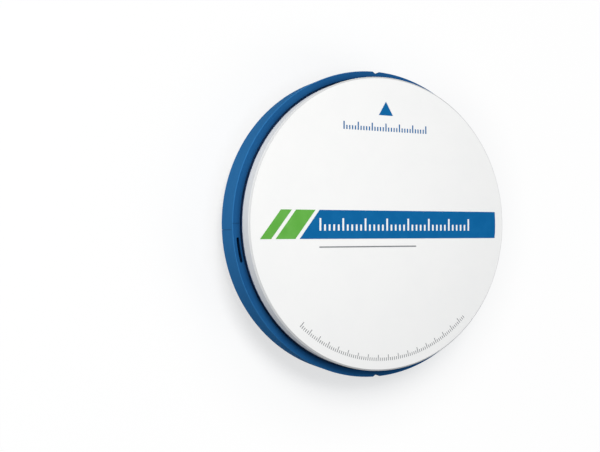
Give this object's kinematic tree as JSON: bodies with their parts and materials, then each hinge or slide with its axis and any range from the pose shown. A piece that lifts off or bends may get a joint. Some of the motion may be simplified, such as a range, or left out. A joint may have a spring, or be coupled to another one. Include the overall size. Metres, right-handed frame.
{
  "type": "dental milling disc",
  "caption": "Round white zirconia blank bonded into a slim two-part blue plastic holder ring, with a printed blue band and green slanted bars on its face.",
  "frame": {"origin": "centre of the disc's back face, on the surface that it lies on", "axes": "+Z out of the printed front face along the disc's axis, +Y towards the 12 o'clock notch, +X to the right of the print"},
  "size_m": [0.0984, 0.0984, 0.0221],
  "materials": {
    "zirconia": "chalky matte",
    "ring_plastic": "satin moulded",
    "bond": "matte",
    "ink_blue": "matte ink",
    "ink_green": "matte ink"
  },
  "bodies": {
    "root": {"zirconia_blank": "zirconia", "ring_half_upper": "ring_plastic", "ring_half_lower": "ring_plastic", "bond_ring": "bond", "print_band": "ink_blue", "print_bar_wide": "ink_green", "print_bar_narrow": "ink_green"}
  },
  "joints": []
}
